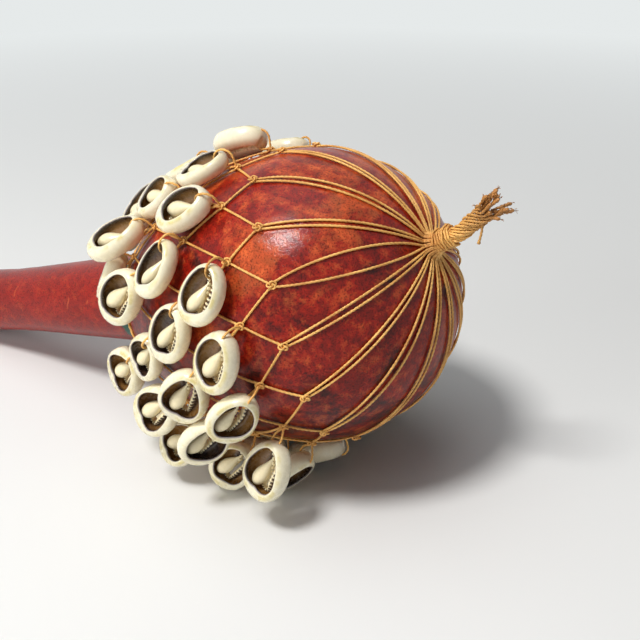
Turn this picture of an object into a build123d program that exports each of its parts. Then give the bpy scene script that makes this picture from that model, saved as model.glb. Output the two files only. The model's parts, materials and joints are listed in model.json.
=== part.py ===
from build123d import *
import math
import os
import random
import numpy as np

# A shekere: a hollow gourd in a knotted cord net hung with cut cowrie shells.
# It lies on its side, +Z up, with its base towards +X and its neck running down towards -X.
# Everything is laid out round the centre of the belly, then moved so that the origin is
# the middle of the footprint. Millimetres and degrees.

# The gourd
BELLY_RADIUS = 55.0
SHOULDER_LENGTH = 84.0      # the neck half of the belly is half of an ellipse this long
GOURD_WALL = 4.0
NECK_RADIUS = 20.0          # where the neck leaves the shoulder
NECK_FILLET = 12.0
GRIP_RADIUS = 15.0
GRIP_LENGTH = 50.0          # the neck's straight stretch, up to its mouth
NECK_END = 215.0            # from the belly's centre to the mouth
MOUTH_ROUNDING = 1.2

# The net
CORD_DIAMETER = 1.0
CORD_CLEARANCE = 0.15       # between a cord and the gourd
KNOT_RADIUS = 1.3
KNOT_GAP = 0.05             # between a cord's end and its knot
COLUMNS = 16
GATHER_RISE = 18.0          # the gather sits this far above the gourd's own pole
STRAIGHT_ANGLE = 150.0      # at this angle from the gather the net is true to the gourd again
PHASE = 3.0                 # the first column, round from the top towards the front
REACH = [80, 80, 71, 66, 68, 71, 78, 80, 80, 80, 80, 78, 76, 76, 78, 80]
SPREAD = [1.6, 2.0, 1.5, 3.6, 1.7, 1.9, 2.4, 1.6, 1.8, 2.2, 1.6, 2.0, 1.7, 2.6, 1.8, 1.5]
NET_STEP = 0.25             # in degrees, for measuring along the gourd
ROW_SHARES = {"a": 0.155, "b": 0.381, "c": 0.607, "d": 0.839}
# Each row lies this share of the shoulder's length below the split knots
COLLAR_FROM_NECK = 6.25     # from the collar to where the neck starts, along the axis
COLLAR_CORD = 1.5
COLLAR_GAP = 0.1            # between the collar and the cords that end at it
PAIR_GAP = 0.1              # between the two cords of a pair, at their split knot

# The cowries
SHELL_LENGTH = 20.5
SHELL_RADIUS = 7.75         # half of its greatest width, nearer the free end
SHELL_TIP_RADIUS = 4.4      # the tied end is narrower
SHELL_FLOOR = 4.0           # from the widest level down to the flat face
SHELL_CUT = 2.6             # and up to where its back is cut away
SHELL_BEVEL = 1.8           # its sides draw in by this much at the flat face
SHELL_BEVEL_RISE = 3.0
SHELL_WALL = 1.4
SHELL_END_WALL = 2.4
SLIT_WIDTH = 2.0
SLIT_DEPTH = 1.6
LIP_RADIUS = 1.8            # the fold beside the slit
LIP_LENGTH = 9.0
LOOP_CLEARANCE = 0.3        # between a shell's end wall and its cord loop, and over the net
LOOP_BITE = 0.3             # how far a loop sinks into its knot
HANG = 1.2                  # pull of its weight on a shell, against the pull of the net
LEAN_JITTER = 4.0
LEAN_CHOICES = (0, 7, -7, 14, -14, 21, -21, 28, -28)     # a shell turns aside to lie lower
CROWDING_COST = 50.0        # degrees of lift that a shell gives for a millimetre of room
SHELL_GAP = 0.5             # between a shell and its neighbours' knots and loops
NEIGHBOUR_REACH = 50.0      # shells and knots further off than this never meet
LOWEST_LIFT = -20.0         # a shell's free end may dip this far towards the gourd
SWING = 40.0                # each shell lifts this far off the gourd
OUTLINE_POINTS = 24         # round a shell, for measuring its room
LOOP_POINTS = 12            # and round a cord loop
COLLAR_POINTS = 96          # and round the collar
TABLE_CLEARANCE = 0.4
UNDER_CROWDING = 5.0        # the shells under the gourd lie on each other's knots

# The gather and its tail
GATHER_RADIUS = 5.5
GATHER_HEIGHT = 3.0
CORE_RADIUS = 3.0
BINDING_TURNS = 4
BINDING_GAP = 0.5           # between one turn and the next
TAIL_RADIUS = 2.8
TAIL_LENGTH = 13.0
TAIL_BEND = 14.0            # the tail rises from the gather's own line
TAIL_CLEARANCE = 0.3
STRANDS = 9
STRAND_INSET = 0.75         # from the tail's side to the middle of a strand's root
STRAND_LENGTHS = (7.2, 9.0)
STRAND_FANS = (14.4, 24.0, 33.6)
PATH_SAMPLES = 400          # along the binding, for measuring its gap to itself

# Sizes that follow
CORD_RADIUS = CORD_DIAMETER / 2
CORD_HEIGHT = CORD_RADIUS + CORD_CLEARANCE
KNOT_HEIGHT = KNOT_RADIUS + CORD_CLEARANCE
STAND_OFF = CORD_DIAMETER + CORD_CLEARANCE + LOOP_CLEARANCE
HINGE_HEIGHT = STAND_OFF + SHELL_FLOOR
TIP_PLACE = SHELL_LENGTH - SHELL_RADIUS - SHELL_TIP_RADIUS
HINGE_PLACE = TIP_PLACE + SHELL_TIP_RADIUS - SHELL_END_WALL / 2
WALL_REACH = math.hypot(SHELL_END_WALL / 2, max(SHELL_CUT, SHELL_FLOOR - SLIT_DEPTH))
LOOP_RADIUS = WALL_REACH + LOOP_CLEARANCE + CORD_RADIUS
KNOT_DROP = HINGE_HEIGHT - KNOT_HEIGHT
KNOT_FROM_LOOP = LOOP_RADIUS + CORD_RADIUS + KNOT_RADIUS - LOOP_BITE
KNOT_AHEAD = math.sqrt(max(0.0, KNOT_FROM_LOOP ** 2 - KNOT_DROP ** 2))
TABLE_DROP = BELLY_RADIUS + STAND_OFF + SHELL_FLOOR + SHELL_CUT + UNDER_CROWDING
MOUTH_ANGLE = math.atan(GRIP_RADIUS / NECK_END)
TILT = math.degrees(math.asin(TABLE_DROP / math.hypot(NECK_END, GRIP_RADIUS)) - MOUTH_ANGLE)
STEP = 360 / COLUMNS
NECK_START = SHOULDER_LENGTH * math.sqrt(1 - (NECK_RADIUS / BELLY_RADIUS) ** 2)
COLLAR_DROP = NECK_START - COLLAR_FROM_NECK
COLLAR_SEAT = BELLY_RADIUS * math.sqrt(1 - (COLLAR_DROP / SHOULDER_LENGTH) ** 2)
BINDING_PITCH = CORD_DIAMETER + BINDING_GAP
CORE_TOP = BELLY_RADIUS + GATHER_HEIGHT + BINDING_PITCH * (BINDING_TURNS + 1)
TAIL_ROOT = CORE_TOP + TAIL_RADIUS / 2

# The gourd's own directions: towards its base, its upper side and its front
AXIS = Vector(math.cos(math.radians(TILT)), 0, math.sin(math.radians(TILT)))
TOP = Vector(-math.sin(math.radians(TILT)), 0, math.cos(math.radians(TILT)))
FRONT = Vector(0, -1, 0)
DOWN = Vector(0, 0, -1)


def turned(vector, about, angle):
    """The vector turned about a unit direction."""
    c, s = math.cos(math.radians(angle)), math.sin(math.radians(angle))
    return vector * c + about.cross(vector) * s + about * (about.dot(vector) * (1 - c))


def surface_point(way):
    """Where a unit direction from the belly's centre meets the gourd."""
    along = way.dot(AXIS)
    out = math.sqrt(max(0.0, 1 - along * along))
    semi = BELLY_RADIUS if along >= 0 else SHOULDER_LENGTH
    return way * (1 / math.hypot(along / semi, out / BELLY_RADIUS))


def surface_normal(point):
    """The gourd's outward direction at a point of its belly."""
    along = point.dot(AXIS)
    semi = BELLY_RADIUS if along >= 0 else SHOULDER_LENGTH
    return (AXIS * (along / semi ** 2) + (point - AXIS * along) / BELLY_RADIUS ** 2).normalized()


def raised(way, height):
    """A point at a height over the gourd's surface."""
    point = surface_point(way)
    return point + surface_normal(point) * height


def gourd_gaps(points):
    """How far each point is outside the gourd, near enough to lay shells by."""
    axis = np.array(tuple(AXIS))
    along = points @ axis
    out = np.linalg.norm(points - np.outer(along, axis), axis=1)
    semi = np.where(along >= 0, BELLY_RADIUS, SHOULDER_LENGTH)
    level = np.hypot(along / semi, out / BELLY_RADIUS)
    belly = (level - 1) * level / np.hypot(along / semi ** 2, out / BELLY_RADIUS ** 2)
    taper = (-along - NECK_START) / (NECK_END - GRIP_LENGTH - NECK_START)
    neck = out - NECK_RADIUS - (GRIP_RADIUS - NECK_RADIUS) * np.clip(taper, 0, 1)
    throat = NECK_FILLET - np.hypot(NECK_FILLET - belly, NECK_FILLET - neck)
    near = (belly < NECK_FILLET) & (neck < NECK_FILLET) & (-along > NECK_START - 2 * NECK_FILLET)
    return np.where(near, throat, np.where(-along < NECK_START, belly, np.minimum(belly, neck)))


def net_way(theta, phi):
    """A direction by its angle from the gather and its angle round from the top to the front."""
    t, p = math.radians(theta), math.radians(phi)
    way = AXIS * math.cos(t) + (TOP * math.cos(p) + FRONT * math.sin(p)) * math.sin(t)
    return turned(way, FRONT, GATHER_RISE * max(0.0, 1 - theta / STRAIGHT_ANGLE))


def down_the_net(theta, phi, distance):
    """The direction reached by going a distance along the gourd, away from the gather."""
    here = surface_point(net_way(theta, phi))
    while distance > 0:
        theta += NET_STEP
        there = surface_point(net_way(theta, phi))
        distance -= (there - here).length
        here = there
    return here.normalized()


# The gourd: a hollow body of revolution, open at the neck's mouth
def gourd_outline(wall, end):
    """Half of the gourd's lengthwise section, taken in by a wall's thickness."""
    belly, shoulder = BELLY_RADIUS - wall, SHOULDER_LENGTH - wall
    neck, grip = NECK_RADIUS - wall, GRIP_RADIUS - wall
    turn = math.degrees(math.asin(neck / belly))
    base = CenterArc((0, 0), belly, 0, 90)
    shoulder_arc = EllipticalCenterArc((0, 0), shoulder, belly, 90, arc_size=90 - turn)
    taper_end = (-(NECK_END - GRIP_LENGTH), grip)
    neck_line = Polyline(shoulder_arc @ 1, taper_end, (-end, grip), (-end, 0), base @ 0)
    return make_face([base, shoulder_arc, neck_line])


def make_gourd():
    shapes = []
    for wall, end in ((0, NECK_END), (GOURD_WALL, NECK_END + GOURD_WALL)):
        body = revolve(gourd_outline(wall, end), Axis.X)
        rings = body.edges().filter_by(GeomType.CIRCLE)
        throat = [ring for ring in rings if abs(ring.radius - (NECK_RADIUS - wall)) < 0.01]
        shapes.append(fillet(throat, NECK_FILLET))
    gourd = shapes[0] - shapes[1]
    lip = gourd.edges().filter_by(GeomType.CIRCLE).group_by(Axis.X)[0]
    return fillet(lip, MOUTH_ROUNDING).rotate(Axis.Y, -TILT)


# One cowrie, its slit along X, tied at +X, with its cut back facing +Z
def shell_plan(inset, end_inset):
    """The shell's outline from above, a round end and a narrower one, taken in by a wall."""
    tip_radius = SHELL_TIP_RADIUS - inset
    tip_place = TIP_PLACE + inset - end_inset
    tip = Pos(tip_place, 0) * Circle(tip_radius)
    return make_hull(Circle(SHELL_RADIUS - inset).edges() + tip.edges())


def make_cowrie():
    plan = shell_plan(0, 0)
    body = extrude(Pos(0, 0, -SHELL_FLOOR) * plan, SHELL_FLOOR + SHELL_CUT, dir=(0, 0, 1))
    under = body.faces().sort_by(Axis.Z)[0]
    body = chamfer(under.edges(), SHELL_BEVEL, SHELL_BEVEL_RISE, reference=under)
    floor = SHELL_FLOOR - SHELL_WALL
    hollow_plan = Pos(0, 0, -floor) * shell_plan(SHELL_WALL, SHELL_END_WALL)
    hollow = extrude(hollow_plan, floor + SHELL_CUT, dir=(0, 0, 1))
    slit = Pos(0, 0, SLIT_DEPTH / 2 - SHELL_FLOOR) * Box(2 * SHELL_LENGTH, SLIT_WIDTH, SLIT_DEPTH)
    lip_place = Pos(-SHELL_WALL, SLIT_WIDTH / 2 + LIP_RADIUS, -floor)
    lip = lip_place * Rot(0, 90, 0) * Cylinder(LIP_RADIUS, LIP_LENGTH)
    above = Pos(0, 0, SHELL_LENGTH / 2 - floor - SHELL_WALL / 2) * Box(*(SHELL_LENGTH,) * 3)
    return (body - hollow + (lip & above) - slit).solid()


def plan_gaps(x, y):
    """How far points are outside the shell's outline, seen from above."""
    slant = (SHELL_RADIUS - SHELL_TIP_RADIUS) / TIP_PLACE
    level = math.sqrt(1 - slant * slant)
    across = np.abs(y)
    place = level * x - slant * across
    flank = slant * x + level * across - SHELL_RADIUS
    tip = np.hypot(x - TIP_PLACE, across) - SHELL_TIP_RADIUS
    beside = np.where(place > level * TIP_PLACE, tip, flank)
    return np.where(place < 0, np.hypot(x, across) - SHELL_RADIUS, beside)


def shell_gaps(points):
    """How far points in a shell's own frame, about its hinge, are outside it."""
    plan = plan_gaps(points[:, 0] + HINGE_PLACE, points[:, 1])
    level = np.maximum(points[:, 2] - SHELL_CUT, -SHELL_FLOOR - points[:, 2])
    outside = np.hypot(np.maximum(plan, 0), np.maximum(level, 0))
    return np.where((plan > 0) | (level > 0), outside, np.maximum(plan, level))


def shell_outline():
    """Points round a shell's flat face, its widest level and its rim, about its hinge."""
    levels = ((-SHELL_FLOOR, SHELL_BEVEL), (SHELL_BEVEL_RISE - SHELL_FLOOR, 0), (SHELL_CUT, 0))
    points = []
    for i in range(OUTLINE_POINTS):
        a = 2 * math.pi * i / OUTLINE_POINTS
        for height, inset in levels:
            far = math.cos(a) > 0
            radius = (SHELL_TIP_RADIUS if far else SHELL_RADIUS) - inset
            place = TIP_PLACE if far else 0
            points.append((place + radius * math.cos(a) - HINGE_PLACE, radius * math.sin(a), height))
    return np.array(points)


def make_tie():
    """A cord loop round a shell's end wall, on its knot, about the middle of the loop."""
    loop = Rot(90, 0, 0) * Torus(LOOP_RADIUS, CORD_RADIUS)
    return (loop + Pos(KNOT_AHEAD, 0, -KNOT_DROP) * Sphere(KNOT_RADIUS)).solid()


class Hung:
    """One cowrie's place: its hinge, the way it lies and how far it can lift."""

    def __init__(self, name, way):
        self.name = name
        self.foot = surface_point(way)
        self.up = surface_normal(self.foot)
        self.knot = self.foot + self.up * KNOT_HEIGHT
        self.lean(0)

    def lean(self, angle):
        """Turns the shell about its knot, from the way that the net and its weight pull it."""
        neckward = (self.up * AXIS.dot(self.up) - AXIS).normalized()
        sag = (DOWN - self.up * DOWN.dot(self.up)) * math.sqrt(max(0.0, 1 + self.up.Z))
        self.lie = turned((neckward + sag * HANG).normalized(), self.up, angle)
        self.swing_axis = self.lie.cross(self.up)
        self.hinge = self.foot + self.up * HINGE_HEIGHT + self.lie * KNOT_AHEAD

    def frame(self, lift):
        lie = turned(self.lie, self.swing_axis, lift)
        return Plane(self.hinge, x_dir=lie * -1, z_dir=turned(self.up, self.swing_axis, lift))

    def axes(self, lift):
        """The shell's own directions, as the rows of a matrix."""
        lie, up = turned(self.lie, self.swing_axis, lift), turned(self.up, self.swing_axis, lift)
        return np.array([tuple(lie * -1), tuple(self.swing_axis * -1), tuple(up)])

    def outline(self, lift):
        return OUTLINE @ self.axes(lift) + np.array(tuple(self.hinge))

    def tie_points(self):
        """Points of its knot and loop, each with its thickness."""
        turn = 360 / LOOP_POINTS
        spokes = [turned(self.lie, self.swing_axis, turn * i) for i in range(LOOP_POINTS)]
        loop = [self.hinge - spoke * LOOP_RADIUS for spoke in spokes]
        return [(tuple(p), CORD_RADIUS) for p in loop] + [(tuple(self.knot), KNOT_RADIUS)]

    def clears(self, lift, others):
        if gourd_gaps(self.outline(lift)).min() < STAND_OFF:
            return False
        if not len(others):
            return True
        local = (others[:, :3] - np.array(tuple(self.hinge))) @ self.axes(lift).T
        return (shell_gaps(local) - others[:, 3]).min() >= SHELL_GAP

    def lowest_lift(self, others):
        """The lift at which the shell lies on the gourd, its net or a neighbour's knot."""
        lift = LOWEST_LIFT
        while not self.clears(lift, others):
            lift += 1.0
        return lift

    def crowding(self, lift, other, other_lift):
        """How far two shells fall short of the gap between neighbours."""
        least = SHELL_GAP
        both = ((self, lift, other, other_lift), (other, other_lift, self, lift))
        for one, one_lift, two, two_lift in both:
            local = (two.outline(two_lift) - np.array(tuple(one.hinge))) @ one.axes(one_lift).T
            least = min(least, shell_gaps(local).min())
        return SHELL_GAP - least

    def is_near(self, point):
        return (Vector(*point) - self.foot).length < NEIGHBOUR_REACH

    def settle(self, neighbours, settled, knots, jitter):
        """Picks the lean at which the shell lies lowest, then lets it hang or lie on the table."""
        near = [t for t in neighbours if t is not self and self.is_near(t.foot)]
        others = [(*p, r) for t in near for p, r in t.tie_points()]
        others = np.array(others + [(*p, r) for p, r in knots if self.is_near(p)])
        best = None
        for choice in LEAN_CHOICES:
            self.lean(choice + jitter)
            low = self.lowest_lift(others)
            cost = low + abs(choice) / 2
            for other in (t for t in near if t in settled):
                lifts = ((low, other.low), (low, other.rest), (low + SWING, other.low + SWING))
                for lift, other_lift in lifts:
                    cost += CROWDING_COST * self.crowding(lift, other, other_lift)
            if best is None or cost < best[0]:
                best = (cost, choice + jitter, low)
        self.lean(best[1])
        self.low = best[2]
        hang = math.degrees(math.atan2(-self.up.Z, -self.lie.Z))
        if self.up.Z > 0 and self.lie.Z > 0:
            hang = self.low
        lift = max(self.low, min(hang, self.low + SWING))
        while lift > self.low and self.outline(lift)[:, 2].min() < TABLE_CLEARANCE - TABLE_DROP:
            lift -= 1.0
        self.rest = max(lift, self.low)


def cord(start, middle, end, diameter=CORD_DIAMETER):
    """A round cord along the arc through three points."""
    path = ThreePointArc(start, middle, end)
    return sweep(Plane(path @ 0, z_dir=path % 0) * Circle(diameter / 2), path=path).solid()


def cord_on_gourd(start, end, start_trim, end_trim, side=0.0):
    """A cord lying on the gourd between two directions, its middle moved aside by a distance."""
    span = (raised(end, CORD_HEIGHT) - raised(start, CORD_HEIGHT)).length
    across = start.cross(end).normalized()
    middle = ((start + end).normalized() + across * (side / BELLY_RADIUS)).normalized()

    def part_way(share):
        bow = 4 * share * (1 - share)
        straight = (start * (1 - share) + end * share).normalized()
        return (straight + (middle - (start + end).normalized()) * bow).normalized()

    ends = (start_trim / span, 0.5, 1 - end_trim / span)
    return cord(*(raised(part_way(share), CORD_HEIGHT) for share in ends))


def collar_ring():
    """The middle and the radius of the collar cord's own line."""
    rim = surface_normal(AXIS * -COLLAR_DROP + TOP * COLLAR_SEAT)
    lift = CORD_CLEARANCE + COLLAR_CORD / 2
    return AXIS * (rim.dot(AXIS) * lift - COLLAR_DROP), COLLAR_SEAT + rim.dot(TOP) * lift


OUTLINE = shell_outline()
jitter = random.Random(5)

# The net's knots, row by row: split knots where each pair of cords parts, then the shells' ties
split_ways = [net_way(REACH[j], PHASE + STEP * j) for j in range(COLUMNS)]
rows = {}
plain_knots = []
for row, share in ROW_SHARES.items():
    between = row in "ac"
    rows[row] = []
    for j in range(COLUMNS):
        reach = (REACH[j] + REACH[(j + 1) % COLUMNS]) / 2 if between else REACH[j]
        way = down_the_net(reach, PHASE + STEP * (j + between / 2), share * SHOULDER_LENGTH)
        if row == "d" and j % 2:
            plain_knots.append(raised(way, KNOT_HEIGHT))
            rows[row].append(way)
        else:
            rows[row].append(Hung(f"cowrie_{row}_{j + 1:02d}", way))
hung = [tie for ties in rows.values() for tie in ties if isinstance(tie, Hung)]

# The shells settle from the neck upwards, clear of the other knots and of the collar
collar_middle, collar_radius = collar_ring()
bare_knots = [(tuple(raised(way, KNOT_HEIGHT)), KNOT_RADIUS) for way in split_ways]
bare_knots += [(tuple(knot), KNOT_RADIUS) for knot in plain_knots]
for i in range(COLLAR_POINTS):
    spoke = turned(TOP, AXIS, 360 / COLLAR_POINTS * i)
    bare_knots.append((tuple(collar_middle + spoke * collar_radius), COLLAR_CORD / 2))
for i in reversed(range(len(hung))):
    hung[i].settle(hung, hung[i + 1:], bare_knots, jitter.uniform(-LEAN_JITTER, LEAN_JITTER))


def knot_way(knot):
    return knot.knot.normalized() if isinstance(knot, Hung) else knot


# The cords: pairs from the gather, then two legs from each knot to the row below, then the collar
def make_net():
    gather = net_way(0, 0)
    hub_angle = math.degrees(GATHER_RADIUS / BELLY_RADIUS)
    trim = KNOT_RADIUS + KNOT_GAP
    solids = []
    for j, split in enumerate(split_ways):
        solids.append(Pos(*raised(split, KNOT_HEIGHT)) * Sphere(KNOT_RADIUS).solid())
        for side in (-1, 1):
            start = net_way(hub_angle, PHASE + STEP * (j + side / 4))
            across = gather.cross(split).normalized()
            end = (split + across * (side * (CORD_RADIUS + PAIR_GAP) / BELLY_RADIUS)).normalized()
            solids.append(cord_on_gourd(start, end, KNOT_GAP, trim, side * SPREAD[j]))
    for knot in plain_knots:
        solids.append(Pos(*knot) * Sphere(KNOT_RADIUS).solid())
    order = [split_ways, rows["a"], rows["b"], rows["c"], rows["d"]]
    for level, (upper, lower) in enumerate(zip(order, order[1:])):
        shift = -1 if level % 2 == 0 else 1
        for j, knot in enumerate(upper):
            for other in (lower[j], lower[(j + shift) % COLUMNS]):
                solids.append(cord_on_gourd(knot_way(knot), knot_way(other), trim, trim))
    ring = Torus(collar_radius, COLLAR_CORD / 2).solid()
    solids.append(Plane(collar_middle, z_dir=AXIS) * ring)
    for knot in rows["d"]:
        way = knot_way(knot)
        spoke = (way - AXIS * way.dot(AXIS)).normalized()
        end = (AXIS * -COLLAR_DROP + spoke * COLLAR_SEAT).normalized()
        solids.append(cord_on_gourd(way, end, trim, COLLAR_CORD / 2 + COLLAR_GAP))
    tie = make_tie()
    solids += [tie.moved(place.frame(0).location) for place in hung]
    solids.append(make_gather(gather))
    return solids


def make_gather(gather):
    """The bundle where all the cords meet, with a dished top for the root of the tail."""
    foot = BELLY_RADIUS - GATHER_RADIUS ** 2 / BELLY_RADIUS
    cone_top = BELLY_RADIUS + GATHER_HEIGHT
    outline = Polyline(
        (0, foot), (GATHER_RADIUS - PAIR_GAP, foot),
        (GATHER_RADIUS - PAIR_GAP, BELLY_RADIUS + CORD_HEIGHT), (CORE_RADIUS, cone_top),
        (CORE_RADIUS, CORE_TOP), (0, CORE_TOP), close=True,
    )
    bundle = revolve(Plane.XZ * make_face(outline), Axis.Z)
    bundle -= Sphere(BELLY_RADIUS + CORD_CLEARANCE)
    bundle -= Pos(0, 0, TAIL_ROOT) * Sphere(TAIL_RADIUS + TAIL_CLEARANCE)
    return (Plane((0, 0, 0), x_dir=FRONT, z_dir=gather) * bundle).solid()


# The binding: one cord wound round the bundle
def make_binding(gather):
    radius = CORE_RADIUS + CORD_CLEARANCE + CORD_RADIUS
    foot = BELLY_RADIUS + GATHER_HEIGHT + CORD_DIAMETER
    rise = math.atan(BINDING_PITCH / (2 * math.pi * radius))

    def at(turn):
        a = 2 * math.pi * turn
        return Vector(radius * math.cos(a), radius * math.sin(a), foot + BINDING_PITCH * turn)

    def along(turn):
        a = 2 * math.pi * turn
        return Vector(-math.sin(a) * math.cos(rise), math.cos(a) * math.cos(rise), math.sin(rise))

    edges = [Line(at(0) - along(0) * CORD_DIAMETER, at(0))]
    for i in range(2 * BINDING_TURNS):
        p0, p1, t0, t1 = at(i / 2), at(i / 2 + 0.5), along(i / 2), along(i / 2 + 0.5)
        span, both, spare = p1 - p0, t0 + t1, 2 * (1 - t0.dot(t1))
        reach = (math.sqrt(span.dot(both) ** 2 + spare * span.dot(span)) - span.dot(both)) / spare
        joint = (p0 + p1 + (t0 - t1) * reach) / 2
        first = TangentArc(p0, joint, tangent=t0)
        edges += [first, TangentArc(joint, p1, tangent=first % 1)]
    edges.append(Line(at(BINDING_TURNS), at(BINDING_TURNS) + along(BINDING_TURNS) * CORD_DIAMETER))
    path = Wire(edges)
    tube = sweep(Plane(path @ 0, z_dir=path % 0) * Circle(CORD_RADIUS), path=path).solid()
    points = [path @ (i / PATH_SAMPLES) for i in range(PATH_SAMPLES + 1)]
    apart = math.ceil(PATH_SAMPLES * math.pi * radius / path.length)
    least = min((p - q).length for i, p in enumerate(points) for q in points[i + apart:])
    expected = math.pi * CORD_RADIUS ** 2 * path.length
    print(f"binding: least gap to itself {least - CORD_DIAMETER:.2f} mm")
    print(f"binding: volume {tube.volume:.2f}, section by length {expected:.2f}")
    return Plane((0, 0, 0), x_dir=FRONT, z_dir=gather) * tube


# The tail: a twisted bundle on a ball root, with its cord ends splayed
def make_tail(gather):
    tail = Sphere(TAIL_RADIUS) + Pos(0, 0, TAIL_LENGTH / 2) * Cylinder(TAIL_RADIUS, TAIL_LENGTH)
    for i in range(STRANDS):
        fan = STRAND_FANS[i % len(STRAND_FANS)]
        length = STRAND_LENGTHS[i % len(STRAND_LENGTHS)]
        strand = Pos(0, 0, length / 2 - CORD_DIAMETER) * Cylinder(CORD_RADIUS, length)
        root = Rot(0, 0, 360 / STRANDS * i) * Pos(TAIL_RADIUS - STRAND_INSET, 0, 0)
        tail += Pos(0, 0, TAIL_LENGTH) * root * Rot(0, fan, 0) * strand
    return (Plane(gather * TAIL_ROOT, x_dir=FRONT, z_dir=tail_way(gather)) * tail).solid()


def tail_way(gather):
    return turned(gather, FRONT, TAIL_BEND)


gather_way = net_way(0, 0)
cowrie = make_cowrie()
nodes = {
    "gourd": [make_gourd().solid()],
    "net": make_net(),
    "gather_binding": [make_binding(gather_way)],
    "tail": [make_tail(gather_way)],
}
for place in hung:
    nodes[place.name] = [(place.frame(place.rest) * Pos(-HINGE_PLACE, 0, 0) * cowrie).solid()]

# The origin goes to the middle of the footprint
box = Compound([solid for solids in nodes.values() for solid in solids]).bounding_box()
shift = Vector(-box.center().X, -box.center().Y, -box.min.Z)
os.makedirs("parts", exist_ok=True)
for name, solids in nodes.items():
    export_step(Compound([solid.moved(Location(shift)) for solid in solids]), f"parts/{name}.step")
size = " x ".join(f"{side:.1f}" for side in box.size)
print(f"{len(nodes)} nodes, {len(hung)} cowries, tilt {TILT:.2f}, box {size}")
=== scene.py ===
import json
import math
import random

import bmesh
import bpy
from bpy.props import FloatProperty, FloatVectorProperty, PointerProperty
from mathutils import Matrix, Quaternion, Vector, noise
from mathutils.bvhtree import BVHTree
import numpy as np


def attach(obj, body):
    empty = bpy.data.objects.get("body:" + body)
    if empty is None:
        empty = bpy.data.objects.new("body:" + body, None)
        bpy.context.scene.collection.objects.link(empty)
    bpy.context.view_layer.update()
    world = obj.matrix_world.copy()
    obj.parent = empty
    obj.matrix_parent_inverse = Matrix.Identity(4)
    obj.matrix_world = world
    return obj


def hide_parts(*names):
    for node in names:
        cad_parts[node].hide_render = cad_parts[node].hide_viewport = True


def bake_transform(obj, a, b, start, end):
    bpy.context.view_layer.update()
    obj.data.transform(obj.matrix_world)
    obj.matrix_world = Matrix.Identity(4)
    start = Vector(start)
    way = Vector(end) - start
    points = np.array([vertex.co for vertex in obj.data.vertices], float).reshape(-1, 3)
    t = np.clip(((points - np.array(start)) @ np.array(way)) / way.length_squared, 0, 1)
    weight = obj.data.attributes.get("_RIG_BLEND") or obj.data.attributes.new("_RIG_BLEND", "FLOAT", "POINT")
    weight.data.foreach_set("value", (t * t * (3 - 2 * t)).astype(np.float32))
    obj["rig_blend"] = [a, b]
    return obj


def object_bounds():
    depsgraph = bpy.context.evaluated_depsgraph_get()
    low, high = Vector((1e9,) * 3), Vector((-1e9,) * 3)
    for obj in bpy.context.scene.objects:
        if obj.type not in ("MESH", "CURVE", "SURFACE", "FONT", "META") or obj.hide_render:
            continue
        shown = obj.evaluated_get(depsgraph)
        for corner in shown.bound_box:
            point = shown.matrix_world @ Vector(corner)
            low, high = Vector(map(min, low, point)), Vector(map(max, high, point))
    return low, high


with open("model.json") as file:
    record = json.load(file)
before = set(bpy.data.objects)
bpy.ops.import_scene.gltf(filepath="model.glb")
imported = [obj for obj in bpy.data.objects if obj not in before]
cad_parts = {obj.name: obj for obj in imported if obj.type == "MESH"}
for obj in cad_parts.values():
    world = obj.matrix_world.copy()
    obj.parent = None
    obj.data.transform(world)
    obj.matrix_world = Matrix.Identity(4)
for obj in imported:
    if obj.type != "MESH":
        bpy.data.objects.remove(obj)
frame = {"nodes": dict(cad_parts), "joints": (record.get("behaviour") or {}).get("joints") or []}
cad_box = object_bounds()

bl_info = {
    "name": "Shekere",
    "version": (1, 0, 0),
    "blender": (4, 5, 0),
    "location": "View3D > Sidebar > Shekere",
    "description": "Dresses the shekere's frame: gourd, knotted net, tail, cowries and stage",
    "category": "Object",
}

# Places that the frame gives: the belly's centre, the gourd's own directions and the tail's root
JOINTS = {joint["name"]: joint for joint in frame["joints"]}
CENTRE = Vector(JOINTS["net_turn"]["pos_m"])
AXIS = Vector(JOINTS["net_turn"]["axis"]).normalized()
FRONT = Vector(JOINTS["tail_bend"]["axis"]).normalized()
TOP = FRONT.cross(AXIS)
TAIL_ROOT = Vector(JOINTS["tail_bend"]["pos_m"])
GATHER = (TAIL_ROOT - CENTRE).normalized()
MM = 0.001

# The net's layout: columns in degrees round the gourd, each column's split knot in degrees from
# the gather, the spread of its pair of cords in millimetres, and each row's knots by shares of the
# shoulder's length
COLUMNS = 16
STEP = 360 / COLUMNS
PHASE = 3.0
STRAIGHT_ANGLE = 150.0
NET_STEP = 0.25
PAIR_SHARE = 1 / 6
PAIR_GAP = 0.6
REACH = (80, 80, 71, 66, 68, 71, 78, 80, 80, 80, 80, 78, 76, 76, 78, 80)
SPREAD = (0.4, 0.7, 0.5, 3.2, 0.6, 0.5, 1.0, 0.5, 0.6, 0.9, 0.4, 0.8, 0.5, 1.2, 0.7, 0.4)
ROW_SHARES = {"a": 0.155, "b": 0.381, "c": 0.607, "d": 0.839}

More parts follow.
